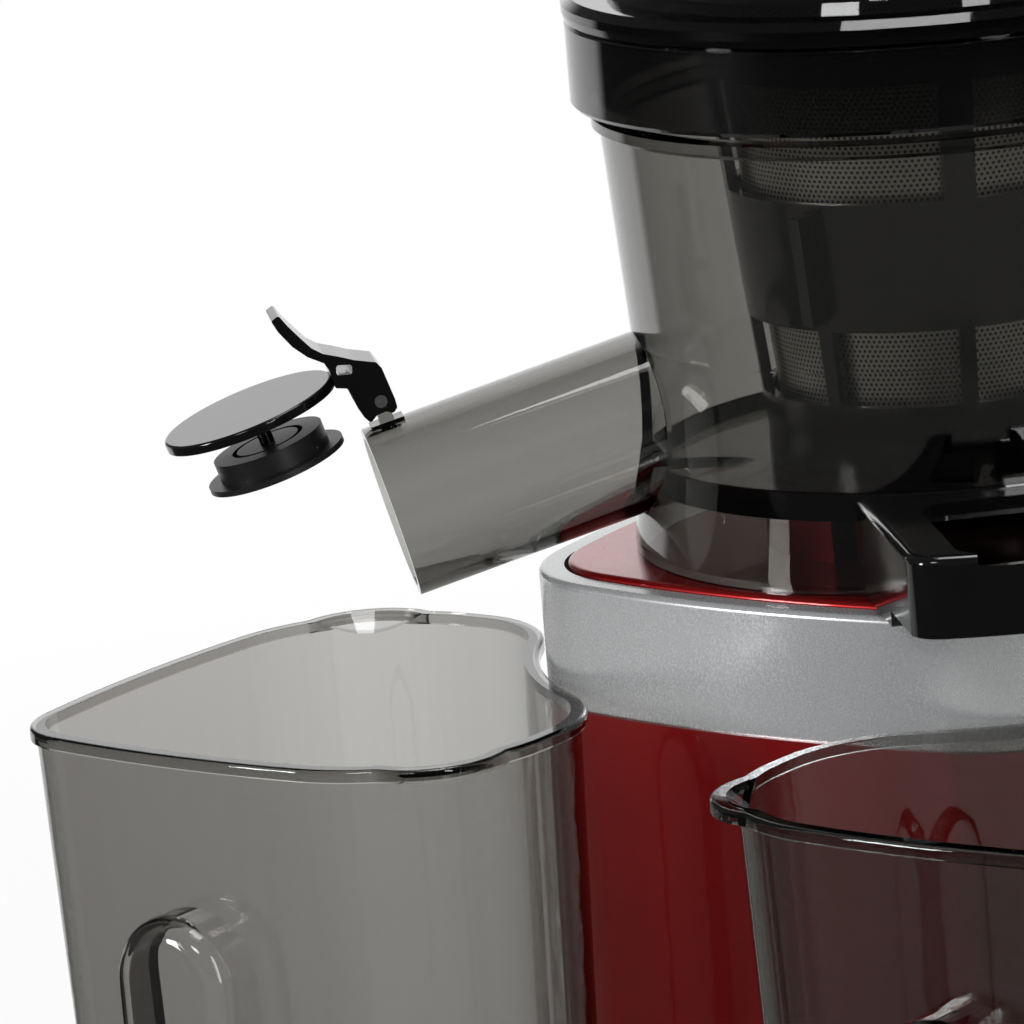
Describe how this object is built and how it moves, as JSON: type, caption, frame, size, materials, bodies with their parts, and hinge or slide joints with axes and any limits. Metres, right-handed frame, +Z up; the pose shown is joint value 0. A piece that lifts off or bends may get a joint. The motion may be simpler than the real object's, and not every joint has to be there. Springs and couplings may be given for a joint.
{
  "type": "cold press juicer",
  "caption": "Vertical slow juicer: lacquered square drive base, clear bowl with capped juice spout and pulp chute, strainer cage, auger, lid with feed tube and pusher, juice jug and pulp cup.",
  "frame": {"origin": "middle of the set's footprint on the table: the drive unit and both cups together, at the height of the feet's undersides", "axes": "+Z up, -Y to the front where the cups stand, +X to the right of someone facing the front, so the juice spout leans to -X -Y and the pulp chute to +X -Y"},
  "size_m": [0.2854, 0.2259, 0.392],
  "materials": {
    "red_lacquer": "deep metallic red lacquer over moulded plastic",
    "silver_paint": "satin metallic silver paint over moulded plastic",
    "clear_smoke": "clear smoky grey copolyester, polished",
    "dark_smoke": "nearly black smoky clear plastic, polished",
    "black_gloss": "glossy black moulded plastic",
    "black_matte": "fine-grained black moulded plastic",
    "auger_resin": "dark engineering resin",
    "silicone": "black food-grade silicone",
    "foot_rubber": "black rubber",
    "mesh_steel": "perforated stainless sheet",
    "steel": "ground steel",
    "laminations": "stacked electrical steel",
    "copper": "enamelled copper wire",
    "gear_nylon": "natural nylon",
    "cast_aluminium": "die-cast aluminium",
    "board_green": "glass-fibre circuit board"
  },
  "bodies": {
    "base": {"base_shell": "red_lacquer", "silver_band": "silver_paint", "deck_panel": "red_lacquer", "bottom_cover": "black_matte", "rubber_feet": "foot_rubber", "cover_screws": "steel", "motor_can": "cast_aluminium", "stator_core": "laminations", "stator_windings": "copper", "motor_bearings": "steel", "layshaft_axle": "steel", "drive_bearings": "steel", "gearbox_case": "cast_aluminium", "gearbox_lid": "cast_aluminium", "gearbox_screws": "steel", "deck_seal": "silicone", "cord_gland": "black_matte", "switch_bezel": "black_gloss", "control_board": "board_green", "run_capacitor": "cast_aluminium"},
    "rotor": {"rotor_core": "laminations", "rotor_shaft": "steel", "cooling_fan": "black_matte", "motor_pinion": "steel"},
    "layshaft": {"layshaft_wheel": "gear_nylon", "layshaft_pinion": "steel"},
    "drive": {"output_wheel": "gear_nylon", "drive_shaft": "steel"},
    "rocker": {"rocker_switch": "black_matte"},
    "bowl": {"juice_bowl": "clear_smoke", "hub_seal": "silicone", "pulp_seal": "silicone", "pulp_chute": "black_gloss", "strainer_frame": "auger_resin", "strainer_mesh": "mesh_steel"},
    "cap": {"smart_cap": "black_gloss", "cap_plug": "silicone", "cap_pin": "steel"},
    "cage": {"brush_cage": "black_gloss", "wiper_blades": "silicone"},
    "idler": {"idler_gear": "gear_nylon"},
    "screw": {"auger": "auger_resin", "auger_socket": "steel"},
    "cover": {"lid": "dark_smoke", "hopper_tray": "black_gloss"},
    "plunger": {"pusher": "black_gloss"},
    "jug": {"juice_jug": "clear_smoke"},
    "pulp_cup": {"pulp_container": "clear_smoke"}
  },
  "joints": [
    {"name": "rotor_spin", "type": "hinge", "parent": "base", "child": "rotor", "pos_m": [0, 0.03915, 0.05], "axis": [0, 0, 1], "continuous": true},
    {"name": "layshaft_spin", "type": "hinge", "parent": "base", "child": "layshaft", "pos_m": [0, 0.07065, 0.098], "axis": [0, 0, 1], "continuous": true},
    {"name": "drive_spin", "type": "hinge", "parent": "base", "child": "drive", "pos_m": [0, 0.03915, 0.112], "axis": [0, 0, 1], "continuous": true},
    {"name": "switch_rock", "type": "hinge", "parent": "base", "child": "rocker", "pos_m": [0, 0.10615, 0.062], "axis": [1, 0, 0], "range_deg": [-12, 12]},
    {"name": "bowl_lift", "type": "slide", "parent": "base", "child": "bowl", "axis": [0, 0, 1], "range_m": [0, 0.12]},
    {"name": "cap_hinge", "type": "hinge", "parent": "bowl", "child": "cap", "pos_m": [-0.08085, -0.0417, 0.20358], "axis": [0.7071, -0.7071, 0], "range_deg": [0, 87]},
    {"name": "cage_spin", "type": "hinge", "parent": "bowl", "child": "cage", "pos_m": [0, 0.03915, 0.225], "axis": [0, 0, 1], "continuous": true},
    {"name": "idler_spin", "type": "hinge", "parent": "bowl", "child": "idler", "pos_m": [-0.01591, 0.05506, 0.185], "axis": [0, 0, 1], "continuous": true},
    {"name": "screw_spin", "type": "hinge", "parent": "bowl", "child": "screw", "pos_m": [0, 0.03915, 0.225], "axis": [0, 0, 1], "continuous": true},
    {"name": "lid_lift", "type": "slide", "parent": "bowl", "child": "cover", "axis": [0, 0, 1], "range_m": [0, 0.12]},
    {"name": "pusher_lift", "type": "slide", "parent": "cover", "child": "plunger", "axis": [0, 0, 1], "range_m": [0, 0.11]},
    {"name": "jug_slide", "type": "slide", "parent": "base", "child": "jug", "axis": [-0.7071, -0.7071, 0], "range_m": [0, 0.15]},
    {"name": "pulp_cup_slide", "type": "slide", "parent": "base", "child": "pulp_cup", "axis": [0.7071, -0.7071, 0], "range_m": [0, 0.15]}
  ],
  "couplings": [
    {"joint": "layshaft_spin", "follows": "rotor_spin", "ratio": -0.27273},
    {"joint": "drive_spin", "follows": "rotor_spin", "ratio": 0.07438},
    {"joint": "screw_spin", "follows": "rotor_spin", "ratio": 0.07438},
    {"joint": "idler_spin", "follows": "rotor_spin", "ratio": -0.14876},
    {"joint": "cage_spin", "follows": "rotor_spin", "ratio": -0.03719}
  ]
}
